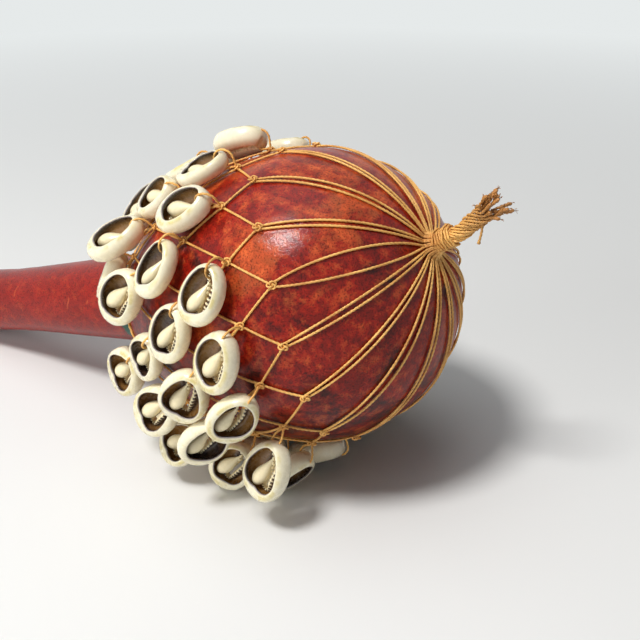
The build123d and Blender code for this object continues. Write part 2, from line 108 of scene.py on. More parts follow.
# A cowrie's section in millimetres, from its slit's edge below, over its side and cut rim,
# to its slit's edge inside: what it is measured from, how far, its height, the share of the
# way from slit to rim, and 1 on the inside
SECTION = (
    ("slit", 0.75, -3.30, 0.00, 0),
    ("slit", 1.60, -3.92, 0.10, 0),
    ("between", 0.50, -4.00, 0.25, 0),
    ("side", 2.30, -3.85, 0.40, 0),
    ("side", 1.15, -3.30, 0.50, 0),
    ("side", 0.38, -2.30, 0.60, 0),
    ("side", 0.00, -0.90, 0.70, 0),
    ("side", 0.10, 0.50, 0.80, 0),
    ("side", 0.45, 1.60, 0.87, 0),
    ("side", 1.00, 2.25, 0.93, 0),
    ("side", 1.50, 2.55, 0.98, 0),
    ("side", 1.72, 2.58, 1.00, 0),
    ("side", 1.95, 2.45, 1.00, 1),
    ("side", 2.00, 2.10, 0.95, 1),
    ("side", 1.85, 1.00, 0.85, 1),
    ("side", 1.85, -0.40, 0.70, 1),
    ("side", 2.70, -1.80, 0.52, 1),
    ("between", 0.50, -2.60, 0.38, 1),
    ("slit", 2.30, -2.40, 0.28, 1),
    ("slit", 1.55, -1.40, 0.16, 1),
    ("slit", 0.95, -1.80, 0.04, 1),
)


def length(name, words, default):
    return FloatProperty(name=name, description=words, default=default, unit="LENGTH", precision=5)


def angle(name, words, degrees):
    return FloatProperty(name=name, description=words, default=math.radians(degrees), subtype="ANGLE")


def colour(name, words, default):
    return FloatVectorProperty(name=name, description=words, default=default, subtype="COLOR", size=3)


class GourdSettings(bpy.types.PropertyGroup):
    belly_radius: length("Belly radius", "From the gourd's axis to its widest part", 0.055)
    shoulder_length: length("Shoulder length", "Half length of the neck side of the belly", 0.084)
    wall: length("Wall", "Thickness of the dried gourd", 0.004)
    neck_radius: length("Neck radius", "Where the neck leaves the shoulder", 0.020)
    throat: length("Throat", "How far the hollow between shoulder and neck runs each way", 0.0064)
    grip_radius: length("Grip radius", "The neck's straight stretch", 0.015)
    grip_length: length("Grip length", "From the end of the taper to the mouth", 0.050)
    neck_end: length("Neck end", "From the belly's centre to the mouth", 0.215)
    mouth_rounding: length("Mouth rounding", "Rounding of the mouth's edges", 0.0012)
    dents: length("Dents", "Depth of the gourd's shallow dents", 0.00035)
    bright: colour("Bright stain", "Thin orange stain", (0.68, 0.125, 0.030))
    red: colour("Red stain", "The stain's main red", (0.310, 0.012, 0.005))
    dark: colour("Dark stain", "Where the stain lies thick", (0.055, 0.006, 0.005))
    band: colour("Painted band", "Green paint round the neck's root", (0.006, 0.060, 0.036))
    flesh: colour("Dry flesh", "The unstained inside", (0.42, 0.29, 0.16))


class NetSettings(bpy.types.PropertyGroup):
    cord: length("Cord", "Diameter of the net's cord", 0.00094)
    lay: length("Lay", "Length of one turn of the cord's plies", 0.0048)
    collar: length("Collar", "Diameter of the cord round the neck's root", 0.0015)
    collar_drop: length("Collar drop", "From the belly's centre to the collar", 0.0720)
    knot: length("Knot", "Half the breadth of a knot", 0.0016)
    knot_height: length("Knot height", "From the gourd to a knot's middle", 0.00145)
    loop: length("Loop", "Radius of the loop that holds a shell", 0.00366)
    hub: length("Hub", "Radius at which the gathered cords leave the gourd", 0.0055)
    gold: colour("Gold", "Waxed cord in the light", (0.90, 0.51, 0.145))
    tan: colour("Tan", "Waxed cord where it is handled", (0.54, 0.22, 0.050))


class TailSettings(bpy.types.PropertyGroup):
    core: length("Core", "Radius of the gathered cords under the wrapping", 0.0030)
    wrap_foot: length("Wrapping foot", "From the belly's centre to the first wrap", 0.0584)
    wrap_top: length("Wrapping top", "From the belly's centre to the last wrap", 0.0650)
    bundle: length("Bundle", "Length of the tail's twisted part", 0.0130)
    radius: length("Radius", "From the tail's middle to its outer strands", 0.0026)
    bend: angle("Bend", "How far the tail turns up from the gather", 14)
    brush: length("Brush", "Length of the loose strands", 0.0062)
    brown: colour("Brown", "The frayed ends", (0.36, 0.140, 0.034))


class CowrieSettings(bpy.types.PropertyGroup):
    half_length: length("Half length", "Half of a shell's length", 0.01025)
    half_width: length("Half width", "Half of a shell's greatest width", 0.00775)
    hinge_place: length("Hinge place", "From a shell's middle to its tie", 0.00905)
    rim_height: length("Rim height", "From the tie to the cut rim", 0.0026)
    floor_depth: length("Floor depth", "From the tie to the flat face", 0.0040)
    ivory: colour("Ivory", "The polished outside", (0.94, 0.875, 0.66))
    cream: colour("Cream", "The folds and teeth inside", (0.93, 0.81, 0.52))
    stain: colour("Stain", "The yellow ring beside the cut", (0.62, 0.50, 0.10))
    edge: colour("Cut edge", "The line of the cut", (0.30, 0.255, 0.26))
    shade: colour("Inner purple", "The hollow under the rim", (0.045, 0.024, 0.022))
    amber: colour("Inner amber", "The hollow's floor", (0.30, 0.150, 0.042))


class StageSettings(bpy.types.PropertyGroup):
    azimuth: angle("Azimuth", "Where the camera stands, round from the front", 32)
    elevation: angle("Elevation", "How far it looks down", 26)
    distance: length("Distance", "From the camera to the belly's centre", 0.360)
    floor: colour("Floor", "The pale floor", (0.86, 0.87, 0.87))
    backdrop: colour("Backdrop", "The floor far behind", (0.79, 0.82, 0.82))


# The photograph's frame in pixels: its side, the focal length, and where the belly's centre is
PHOTO_SIDE = 640
PHOTO_FOCUS = 950
PHOTO_CENTRE = (316, 294)
SENSOR = 36.0


def settings(group):
    """The scene's settings for one group of pieces."""
    return getattr(bpy.context.scene, f"shekere_{group}")


# Directions and places on the gourd
def surface_point(way):
    """Where a unit direction from the belly's centre meets the gourd."""
    gourd = settings("gourd")
    along = way.dot(AXIS)
    out = math.sqrt(max(0.0, 1 - along * along))
    semi = gourd.belly_radius if along >= 0 else gourd.shoulder_length
    return way / math.hypot(along / semi, out / gourd.belly_radius)


def surface_normal(point):
    """The gourd's outward direction at a point of its belly."""
    gourd = settings("gourd")
    along = point.dot(AXIS)
    semi = gourd.belly_radius if along >= 0 else gourd.shoulder_length
    out = (point - AXIS * along) / gourd.belly_radius ** 2
    return (AXIS * (along / semi ** 2) + out).normalized()


def raised(way, height):
    """A place at a height over the gourd."""
    point = surface_point(way.normalized())
    return CENTRE + point + surface_normal(point) * height


def net_way(theta, phi):
    """A direction by its angle from the gather and its angle round from the top to the front."""
    t = math.radians(theta)
    p = math.radians(phi)
    way = AXIS * math.cos(t) + (TOP * math.cos(p) + FRONT * math.sin(p)) * math.sin(t)
    way.rotate(Quaternion(FRONT, AXIS.angle(GATHER) * max(0.0, 1 - theta / STRAIGHT_ANGLE)))
    return way


def down_the_net(theta, phi, distance):
    """The direction reached by going a distance along the gourd, away from the gather."""
    here = surface_point(net_way(theta, phi))
    while distance > 0:
        theta += NET_STEP
        there = surface_point(net_way(theta, phi))
        distance -= (there - here).length
        here = there
    return here.normalized()


def split_ways():
    """Where each pair of cords from the gather parts."""
    return [net_way(REACH[j], PHASE + STEP * j) for j in range(COLUMNS)]


def row_ways():
    """Each row's knots, as directions. Rows a and c lie between the columns."""
    shoulder = settings("gourd").shoulder_length
    rows = {}
    for row, share in ROW_SHARES.items():
        between = row in "ac"
        rows[row] = []
        for j in range(COLUMNS):
            reach = (REACH[j] + REACH[(j + 1) % COLUMNS]) / 2 if between else REACH[j]
            rows[row].append(down_the_net(reach, PHASE + STEP * (j + between / 2), share * shoulder))
    return rows


def tied_shells():
    """Each shell's name, with the direction of the knot that it is tied to."""
    ways = {}
    for row, knots in row_ways().items():
        for j, way in enumerate(knots):
            name = f"cowrie_{row}_{j + 1:02d}"
            if name in frame["nodes"]:
                ways[name] = way
    return ways


# Meshes and objects. A ply's and a knot's shapes are shares of their cord's and knot's breadth
POINTS_PER_PLY = 3
PLY_HOLLOW = 0.14
CORD_STEP = 0.4 * MM
KNOT_POINTS = 40
KNOT_RING = 0.52
KNOT_SWAY = 0.30
KNOT_STRETCH = 1.3


def put(name, mesh, *materials):
    """A smooth object with its place in its mesh."""
    for material in materials:
        mesh.materials.append(material)
    mesh.polygons.foreach_set("use_smooth", [True] * len(mesh.polygons))
    piece = bpy.data.objects.new(name, mesh)
    bpy.context.scene.collection.objects.link(piece)
    return piece


def mesh_from(name, bm):
    """A mesh of what a bmesh holds, its doubles merged and its faces outwards."""
    bmesh.ops.remove_doubles(bm, verts=bm.verts[:], dist=1e-7)
    bmesh.ops.recalc_face_normals(bm, faces=bm.faces[:])
    mesh = bpy.data.meshes.new(name)
    bm.to_mesh(mesh)
    bm.free()
    return mesh


def ply_section(diameter, plies):
    """The outline of a cord of a few plies, as a curve for the cords' bevel."""
    curve = bpy.data.curves.new("ply_section", "CURVE")
    spline = curve.splines.new("POLY")
    count = POINTS_PER_PLY * plies
    spline.points.add(count - 1)
    for i, point in enumerate(spline.points):
        a = math.tau * i / count
        reach = diameter / 2 * (1 - PLY_HOLLOW + PLY_HOLLOW * math.cos(plies * a))
        point.co = (reach * math.cos(a), reach * math.sin(a), 0, 1)
    spline.use_cyclic_u = True
    section = bpy.data.objects.new("ply_section", curve)
    bpy.context.scene.collection.objects.link(section)
    return section


def twisted_cords(name, routes, diameter, lay, plies=3, closed=False, swell=None):
    """A mesh of twisted cords, one along each route. swell gives a route's thickness along it."""
    section = ply_section(diameter, plies)
    curve = bpy.data.curves.new(name, "CURVE")
    curve.dimensions = "3D"
    curve.bevel_mode = "OBJECT"
    curve.bevel_object = section
    curve.use_fill_caps = True
    for route in routes:
        spline = curve.splines.new("POLY")
        spline.points.add(len(route) - 1)
        gone = 0.0
        for i, point in enumerate(spline.points):
            gone += (route[i] - route[i - 1]).length if i else 0.0
            point.co = (*route[i], 1)
            point.tilt = math.tau * gone / lay
            point.radius = swell(i / (len(route) - 1)) if swell else 1.0
        spline.use_cyclic_u = closed
    cords = bpy.data.objects.new(name, curve)
    bpy.context.scene.collection.objects.link(cords)
    depsgraph = bpy.context.evaluated_depsgraph_get()
    made = bpy.data.meshes.new_from_object(cords.evaluated_get(depsgraph))
    bm = bmesh.new()
    bm.from_mesh(made)
    for used in (cords, section):
        bpy.data.objects.remove(used)
    bpy.data.meshes.remove(made)
    return mesh_from(name, bm)


def even(points, step=CORD_STEP):
    """The same line, with points an even step apart."""
    made = [points[0]]
    left = step
    for one, two in zip(points, points[1:]):
        span = (two - one).length
        while left <= span:
            made.append(one.lerp(two, left / span))
            left += step
        left -= span
    return made


def on_gourd(start, end, height, side=0.0, count=60):
    """A line over the gourd between two directions, its middle moved aside by a distance."""
    across = start.cross(end).normalized() * (side / settings("gourd").belly_radius)
    line = []
    for i in range(count + 1):
        share = i / count
        way = start.lerp(end, share).normalized() + across * (4 * share * (1 - share))
        line.append(raised(way, height))
    return line


def overhand_knot(middle, along, up, reach):
    """A closed line through a tight overhand knot, a little longer along its cord."""
    across = up.cross(along).normalized()
    up = along.cross(across).normalized()
    line = []
    for i in range(KNOT_POINTS):
        t = math.tau * i / KNOT_POINTS
        out = reach * (KNOT_RING + KNOT_SWAY * math.cos(3 * t))
        place = along * (KNOT_STRETCH * out * math.cos(2 * t)) + across * (out * math.sin(2 * t))
        line.append(middle + place + up * (KNOT_SWAY * reach * math.sin(3 * t)))
    return line


# Materials, each a node tree built a line a node
class Finish:
    """A material and the few kinds of nodes that the finishes need."""

    def __init__(self, name):
        self.material = bpy.data.materials.new(name)
        self.material.use_nodes = True
        self.tree = self.material.node_tree
        self.shader = self.tree.nodes["Principled BSDF"]
        self.place = self.tree.nodes.new("ShaderNodeTexCoord").outputs["Object"]

    def node(self, kind, inputs, **options):
        made = self.tree.nodes.new(kind)
        for key, value in options.items():
            setattr(made, key, value)
        for key, value in inputs.items():
            self.feed(made.inputs[key], value)
        return made

    def feed(self, socket, value):
        if isinstance(value, bpy.types.NodeSocket):
            self.tree.links.new(value, socket)
        elif socket.type == "RGBA" and len(value) == 3:
            socket.default_value = (*value, 1)
        else:
            socket.default_value = value

    def noise(self, size, detail=4.0, distortion=0.0, roughness=0.5):
        """Noise with patches of about a size in metres."""
        inputs = {"Vector": self.place, "Scale": 1 / size, "Detail": detail, "Roughness": roughness}
        return self.node("ShaderNodeTexNoise", {**inputs, "Distortion": distortion}).outputs["Fac"]

    def ramp(self, share, *stops):
        """Colours or greys by a share, each stop a place and a colour."""
        made = self.node("ShaderNodeValToRGB", {"Fac": share})
        elements = made.color_ramp.elements
        while len(elements) < len(stops):
            elements.new(1.0)
        for element, (place, tint) in zip(elements, stops):
            element.position = place
            element.color = (*tint, 1) if hasattr(tint, "__len__") else (tint, tint, tint, 1)
        return made.outputs["Color"]

    def mix(self, share, one, two, blend="MIX"):
        made = self.node("ShaderNodeMix", {}, data_type="RGBA", blend_type=blend)
        for socket, value in ((made.inputs[0], share), (made.inputs[6], one), (made.inputs[7], two)):
            self.feed(socket, value)
        return made.outputs[2]

    def plus(self, one, two):
        return self.node("ShaderNodeMath", {0: one, 1: two}, operation="ADD").outputs["Value"]

    def times(self, one, two):
        return self.node("ShaderNodeMath", {0: one, 1: two}, operation="MULTIPLY").outputs["Value"]

    def span(self, value, low, high, to_low=0.0, to_high=1.0):
        """A value's place between two limits, as a share."""
        inputs = {"Value": value, "From Min": low, "From Max": high, "To Min": to_low, "To Max": to_high}
        return self.node("ShaderNodeMapRange", inputs).outputs["Result"]

    def attribute(self, name):
        return self.node("ShaderNodeAttribute", {}, attribute_name=name).outputs["Fac"]

    def along(self, origin, way):
        """How far the surface lies from a point, along a direction."""
        moved = self.node("ShaderNodeVectorMath", {0: self.place, 1: origin}, operation="SUBTRACT")
        inputs = {0: moved.outputs["Vector"], 1: way}
        return self.node("ShaderNodeVectorMath", inputs, operation="DOT_PRODUCT").outputs["Value"]

    def distance(self, point):
        made = self.node("ShaderNodeVectorMath", {0: self.place, 1: point}, operation="DISTANCE")
        return made.outputs["Value"]

    def bump(self, height, strength, depth):
        inputs = {"Height": height, "Strength": strength, "Distance": depth}
        return self.node("ShaderNodeBump", inputs).outputs["Normal"]

    def shade(self, **inputs):
        for key, value in inputs.items():
            self.feed(self.shader.inputs[key.replace("_", " ")], value)
        return self.material


# The painted band: from the belly's centre to its two sides, and half the breadth of their edges
BAND_START = 0.0770
BAND_END = 0.0890
BAND_EDGE = 0.0005


def varnished_gourd():
    """Stain that lies unevenly on a gourd's skin, under brushed varnish, with painted light on the upper side
    and painted shade towards the bottom.
    """
    gourd = settings("gourd")
    finish = Finish("varnished_gourd")
    patches = finish.noise(0.034, detail=12.0, distortion=0.4, roughness=0.68)
    mottle = finish.noise(0.0042, detail=8.0, distortion=0.2, roughness=0.66)
    pores = finish.noise(0.00060, detail=2.0)
    # Painted light and shade: the stain is pushed brighter towards the top and darker towards the bottom, by
    # height alone.
    height = finish.along(CENTRE, Vector((0, 0, 1)))
    patches = finish.plus(patches, finish.span(height, -0.040, 0.052, -0.110, 0.085))
    depth = finish.along(CENTRE, -AXIS)
    stain = finish.ramp(
        patches, (0.42, gourd.dark), (0.48, gourd.red), (0.55, gourd.red), (0.63, gourd.bright),
    )
    dabs = finish.ramp(mottle, (0.42, gourd.dark), (0.52, gourd.red), (0.66, gourd.bright))
    stain = finish.mix(0.46, stain, dabs)
    stain = finish.mix(finish.span(depth, 0.070, 0.100, 0.0, 0.65), stain, gourd.red)
    specks = finish.ramp(pores, (0.37, 0.25), (0.47, 1.0))
    stain = finish.mix(0.75, stain, specks, "MULTIPLY")
    scuffs = finish.ramp(finish.noise(0.012, detail=7.0, distortion=1.2), (0.68, 0.0), (0.74, 1.0))
    stain = finish.mix(finish.times(scuffs, 0.55), stain, gourd.bright)
    ragged = finish.plus(depth, finish.times(finish.plus(mottle, -0.5), 0.006))
    near = finish.span(ragged, BAND_START - BAND_EDGE, BAND_START + BAND_EDGE)
    far = finish.span(ragged, BAND_END - BAND_EDGE, BAND_END + BAND_EDGE, 1.0, 0.0)
    stain = finish.mix(finish.times(near, far), stain, gourd.band)
    scar = finish.distance(CENTRE + AXIS * gourd.belly_radius)
    stain = finish.mix(finish.span(scar, 0.0012, 0.0040, 0.92, 0.0), stain, gourd.dark)
    grain = finish.plus(finish.times(pores, 0.6), mottle)
    skin = finish.bump(grain, 0.45, 0.0003)
    return finish.shade(
        Base_Color=stain, Roughness=finish.span(mottle, 0.3, 0.7, 0.34, 0.50),
        Specular_IOR_Level=0.05, Coat_Weight=0.42, Coat_Roughness=0.08,
        Normal=skin, Coat_Normal=skin,
    )


def dry_flesh():
    """The gourd's bare inside, dry and fibrous."""
    gourd = settings("gourd")
    finish = Finish("dry_gourd_flesh")
    fibres = finish.noise(0.0022, detail=6.0, distortion=0.6)
    shade = tuple(part * 0.45 for part in gourd.flesh)
    tint = finish.ramp(fibres, (0.3, shade), (0.65, gourd.flesh))
    return finish.shade(Base_Color=tint, Roughness=0.85, Normal=finish.bump(fibres, 0.6, 0.0006))


def waxed_cord(name, tail_tint=False):
    """Twisted cord with wax on it, browner towards the tail's frayed ends."""
    net = settings("net")
    tail = settings("tail")
    finish = Finish(name)
    handling = finish.noise(0.009)
    fibres = finish.noise(0.00035, detail=3.0)
    tint = finish.ramp(handling, (0.32, net.tan), (0.62, net.gold))
    pale = tuple(min(1.0, part * 1.2) for part in net.gold)
    tint = finish.mix(finish.span(fibres, 0.35, 0.75, 0.0, 0.5), tint, pale)
    if tail_tint:
        gone = finish.along(TAIL_ROOT, GATHER)
        uneven = finish.span(handling, 0.3, 0.7, -0.25, 0.25)
        worn = finish.plus(finish.span(gone, -0.002, 0.017), uneven)
        tint = finish.mix(finish.span(worn, 0.15, 1.0, 0.0, 0.85), tint, tail.brown)
    return finish.shade(
        Base_Color=tint, Roughness=finish.span(handling, 0.3, 0.7, 0.62, 0.46),
        Normal=finish.bump(fibres, 0.45, 0.00012),
    )


def cowrie_enamel():
    """A cut cowrie: polished ivory darkened by painted shade towards the rim, a yellow ring by the cut, and a
    dark purple and amber hollow with cream folds, with painted shade under the rim and along the slit.
    """
    shells = settings("cowries")
    finish = Finish("cowrie_enamel")
    across = finish.attribute("across")
    inside = finish.attribute("inside")
    tone = finish.attribute("tone")
    clouds = finish.noise(0.0060, distortion=0.4)
    fine = finish.noise(0.0016)
    # Painted shade: the outside's ivory turns a darker grey just below the cut rim.
    painted_rim_shade = (0.82, 0.77, 0.57)
    outer = finish.ramp(across, (0.0, shells.cream), (0.35, shells.ivory), (0.80, shells.ivory), (0.97, painted_rim_shade))
    warm = finish.mix(finish.span(clouds, 0.35, 0.7, 0.0, 0.5), outer, shells.cream)
    ring = finish.ramp(across, (0.84, 0.0), (0.90, 1.0), (0.95, 1.0), (0.98, 0.2))
    patch = finish.span(finish.plus(clouds, finish.times(tone, 0.16)), 0.56, 0.72)
    outer = finish.mix(finish.times(ring, finish.times(patch, 0.60)), warm, shells.stain)
    floor = finish.mix(finish.span(finish.plus(clouds, tone), 0.55, 1.15), shells.shade, shells.amber)
    # Painted shade: the hollow's purple at half strength fills the strips under the rim and along the slit,
    # and the shell's own purple and amber lie between them.
    dark = tuple(part * 0.5 for part in shells.shade)
    hollow = finish.ramp(across, (0.30, 0.0), (0.42, 1.0), (0.70, 0.8), (0.90, 0.0))
    inner = finish.mix(hollow, dark, floor)
    teeth = finish.ramp(across, (0.20, 1.0), (0.27, 0.0))
    inner = finish.mix(teeth, inner, shells.cream)
    cut = finish.ramp(across, (0.945, 0.0), (0.985, 1.0))
    inner = finish.mix(cut, inner, shells.edge)
    tint = finish.mix(inside, outer, inner)
    return finish.shade(
        Base_Color=tint, Roughness=finish.span(fine, 0.3, 0.7, 0.20, 0.34),
        Coat_Weight=0.35, Coat_Roughness=0.10, Normal=finish.bump(fine, 0.12, 0.0002),
    )


# The gourd: points along its section outside and inside, steps round it, and its fine shapes
OUTER_STEPS = 110
INNER_STEPS = 60
ROUND_STEPS = 168
CROWDING = 1.1
THROAT_ROOM = 1.1
TAPER_ROUNDING = 0.012
DENT_SIZE = 0.026
RIPPLE = 0.00012
RIPPLE_SIZE = 0.007
SCAR_DEPTH = 0.0006
SCAR_RADIUS = 0.0030
INWARD = -0.2


def gourd_outline(bm):
    """Draws half of the gourd's section as a chain of edges, and gives the corners to round off."""
    gourd = settings("gourd")
    neck_start = math.sqrt(1 - (gourd.neck_radius / gourd.belly_radius) ** 2)
    chain = []
    corners = {}

    def add(along, out):
        chain.append(bm.verts.new(CENTRE + AXIS * along + TOP * out))
        return chain[-1]

    def half(wall, steps):
        belly = gourd.belly_radius - wall
        shoulder = gourd.shoulder_length - wall
        neck = gourd.neck_radius - wall
        corner = Vector((-shoulder * neck_start, neck))
        points = []
        for i in range(steps + 1):
            a = math.pi * (i / steps) ** CROWDING
            semi = belly if a < math.pi / 2 else shoulder
            points.append(Vector((semi * math.cos(a), belly * math.sin(a))))
        clear = gourd.throat * THROAT_ROOM
        points = [p for p in points if p.x > corner.x and (p - corner).length > clear]
        taper = Vector((gourd.grip_length - gourd.neck_end, gourd.grip_radius - wall))
        return points, corner, taper, Vector((-gourd.neck_end, gourd.grip_radius - wall))

    outer, throat, taper, lip = half(0.0, OUTER_STEPS)
    for point in outer:
        add(*point)
    corners["throat"] = add(*throat)
    for share in (0.3, 0.6):
        add(*throat.lerp(taper, share))
    corners["taper"] = add(*taper)
    add(*taper.lerp(lip, 0.5))
    corners["lip"] = add(*lip)
    inner, inner_throat, inner_taper, inner_lip = half(gourd.wall, INNER_STEPS)
    corners["inner lip"] = add(*inner_lip)
    add(*inner_taper.lerp(inner_lip, 0.5))
    corners["inner taper"] = add(*inner_taper)
    corners["inner throat"] = add(*inner_throat)
    for point in reversed(inner):
        add(*point)
    for pair in zip(chain, chain[1:]):
        bm.edges.new(pair)
    return corners


def make_gourd():
    gourd = settings("gourd")
    bm = bmesh.new()
    corners = gourd_outline(bm)
    roundings = (
        ("throat", gourd.throat, 8), ("inner throat", gourd.throat, 6),
        ("taper", TAPER_ROUNDING, 6), ("inner taper", TAPER_ROUNDING, 4),
        ("lip", gourd.mouth_rounding, 4), ("inner lip", gourd.mouth_rounding, 4),
    )
    for name, reach, segments in roundings:
        bmesh.ops.bevel(
            bm, geom=[corners[name]], offset=reach, offset_type="OFFSET", affect="VERTICES",
            segments=segments, profile=0.5, material=-1,
        )
    bmesh.ops.spin(
        bm, geom=bm.verts[:] + bm.edges[:], cent=CENTRE, axis=AXIS, angle=math.tau,
        steps=ROUND_STEPS, use_merge=True,
    )
    mesh = mesh_from("gourd_body", bm)
    scar = CENTRE + AXIS * gourd.belly_radius
    places = [v.co.copy() for v in mesh.vertices]
    normals = [v.normal.copy() for v in mesh.vertices]
    for vertex, place, normal in zip(mesh.vertices, places, normals):
        dent = gourd.dents * (0.5 + 0.5 * noise.noise(place / DENT_SIZE))
        dent += RIPPLE * noise.noise(place / RIPPLE_SIZE)
        pit = SCAR_DEPTH * max(0.0, 1 - ((place - scar).length / SCAR_RADIUS) ** 2)
        vertex.co = place - normal * (max(0.0, dent) + pit)
    piece = put("gourd_body", mesh, varnished_gourd(), dry_flesh())
    for face in mesh.polygons:
        from_centre = face.center - CENTRE
        out = from_centre - AXIS * min(0.0, from_centre.dot(AXIS))
        face.material_index = 1 if face.normal.dot(out) < INWARD * out.length else 0
    return piece


# The net: points along the curves of its cords, and how its knots and collar differ from its cord
FLARE_STEPS = 24
FLARE_TWIST = math.radians(50)
LOOP_STEPS = 48
COLLAR_STEPS = 360
COLLAR_LAY = 0.0060
KNOT_CORD = 0.8
KNOT_SINK = 0.2 * MM


def pair_routes():
    """Each pair of cords, from under the wrapping, out over the gathered hub and down to its split knot."""
    net = settings("net")
    tail = settings("tail")
    gourd = settings("gourd")
    hub_angle = math.degrees(net.hub / gourd.belly_radius)
    height = net.cord / 2
    routes = []
    for j, split in enumerate(split_ways()):
        for side in (-1, 1):
            phi = PHASE + STEP * (j + side * PAIR_SHARE)
            start = net_way(hub_angle, phi)
            across = GATHER.cross(split).normalized()
            end = (split + across * (side * PAIR_GAP * net.cord / gourd.belly_radius)).normalized()
            spread = side * SPREAD[j] * MM
            over = on_gourd(start, end, height, spread)
            hub = over[0] - CENTRE
            low = hub.dot(GATHER)
            out = (hub - GATHER * low).normalized()
            reach = (hub - GATHER * low).length
            flare = []
            for i in range(FLARE_STEPS):
                a = math.pi / 2 * i / FLARE_STEPS
                spoke = out.copy()
                spoke.rotate(Quaternion(GATHER, FLARE_TWIST * (1 - math.sin(a)) ** 2))
                radius = tail.core - net.cord / 2 + (reach - tail.core + net.cord / 2) * (1 - math.cos(a))
                level = tail.wrap_top + (low - tail.wrap_top) * math.sin(a)
                flare.append(CENTRE + GATHER * level + spoke * radius)
            routes.append(even(flare + over))
    return routes


def collar_way(spoke):
    """The direction of the collar from the belly's centre, on the side that a spoke points to."""
    net = settings("net")
    gourd = settings("gourd")
    ring = gourd.belly_radius * math.sqrt(1 - (net.collar_drop / gourd.shoulder_length) ** 2)
    return (spoke * ring - AXIS * net.collar_drop).normalized()


def knots_and_legs():
    """The legs between the rows of knots, and each knot's place with the way that its cords run."""
    net = settings("net")
    rows = row_ways()
    order = [split_ways()] + [rows[row] for row in "abcd"]
    height = net.cord / 2
    legs = []
    knots = []
    for level, (upper, lower) in enumerate(zip(order, order[1:])):
        shift = -1 if level % 2 == 0 else 1
        for j, way in enumerate(upper):
            for other in (lower[j], lower[(j + shift) % COLUMNS]):
                legs.append(even(on_gourd(way, other, height)))
    for way in rows["d"]:
        spoke = (way - AXIS * way.dot(AXIS)).normalized()
        legs.append(even(on_gourd(way, collar_way(spoke), height)))
    for ways in order:
        for way in ways:
            point = surface_point(way)
            up = surface_normal(point)
            along = (up * AXIS.dot(up) - AXIS).normalized()
            knots.append((CENTRE + point + up * (net.knot_height - KNOT_SINK), along, up))
    return legs, knots


def tie_route(name, way):
    """The loop that holds a shell: two strands from its knot, round the end of the shell."""
    net = settings("net")
    joint = JOINTS[f"{name}_swing"]
    hinge = Vector(joint["pos_m"])
    point = surface_point(way)
    up = surface_normal(point)
    knot = CENTRE + point + up * net.knot_height
    back = (knot - hinge).normalized()
    swing = Vector(joint["axis"]).normalized()
    open_angle = math.acos(net.loop / (knot - hinge).length)
    line = [knot]
    for i in range(LOOP_STEPS + 1):
        turn = open_angle + (math.tau - 2 * open_angle) * i / LOOP_STEPS
        spoke = back.copy()
        spoke.rotate(Quaternion(swing, turn))
        line.append(hinge + spoke * net.loop)
    line.append(knot)
    return even(line)


def collar_route():
    line = []
    for i in range(COLLAR_STEPS):
        spoke = TOP.copy()
        spoke.rotate(Quaternion(AXIS, math.tau * i / COLLAR_STEPS))
        line.append(raised(collar_way(spoke), settings("net").collar / 2))
    return line


def net_piece(name, mesh, material):
    piece = put(name, mesh, material)
    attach(piece, "net")
    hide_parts("net")
    return piece


def make_net():
    net = settings("net")
    cord = waxed_cord("waxed_cord")
    net_piece("gather_cords", twisted_cords("gather_cords", pair_routes(), net.cord, net.lay), cord)
    legs, knots = knots_and_legs()
    net_piece("net_legs", twisted_cords("net_legs", legs, net.cord, net.lay), cord)
    lumps = [overhand_knot(middle, along, up, net.knot) for middle, along, up in knots]
    tied = twisted_cords("net_knots", lumps, KNOT_CORD * net.cord, net.lay, closed=True)
    net_piece("net_knots", tied, cord)
    ties = [tie_route(name, way) for name, way in tied_shells().items()]
    net_piece("shell_ties", twisted_cords("shell_ties", ties, net.cord, net.lay), cord)
    collar = twisted_cords("collar_cord", [collar_route()], net.collar, COLLAR_LAY, closed=True)
    net_piece("collar_cord", collar, cord)


# The wrapping: points for each turn, and how unevenly it lies
WRAP_STEPS = 48
WRAP_WOBBLE = 0.12 * MM


def make_wrapping():
    """The cord wound round the gathered cords, with a second layer laid over it askew."""
    net = settings("net")
    tail = settings("tail")
    across = FRONT
    other = GATHER.cross(across)
    radius = tail.core + 0.55 * net.cord
    routes = []
    under = (6.3, 0.0, tail.wrap_top, 1)
    over = (1.4, 0.75 * net.cord, tail.wrap_top - MM, -1)
    for turns, raise_by, top, hand in (under, over):
        line = []
        count = int(turns * WRAP_STEPS)
        for i in range(count + 1):
            share = i / count
            a = math.tau * turns * share * hand
            reach = radius + raise_by + WRAP_WOBBLE * math.sin(7 * a + 2)
            level = tail.wrap_foot + (top - tail.wrap_foot) * share
            line.append(CENTRE + GATHER * level + (across * math.cos(a) + other * math.sin(a)) * reach)
        routes.append(even(line))
    mesh = twisted_cords("gather_wrapping", routes, net.cord, net.lay)
    piece = put("gather_wrapping", mesh, waxed_cord("wrapping_cord"))
    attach(piece, "net")
    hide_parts("gather_binding")


# The tail: points along its strands, their twist in radians, and the fibres at their tips
STRAND_STEPS = 24
STRAND_TWIST = 5.2
STRAND_LAY = 0.0042
ROOT_DEPTH = 0.004
BRUSH_STEPS = 12
CURL = 0.0022
STRAY_STEPS = 16
TIP_FIBRES = 4
FIBRE_ROOT = 0.0006
FIBRE_LAY = 0.002


def tail_directions():
    tail = settings("tail")
    way = GATHER.copy()
    way.rotate(Quaternion(FRONT, tail.bend))
    return way, FRONT, way.cross(FRONT)


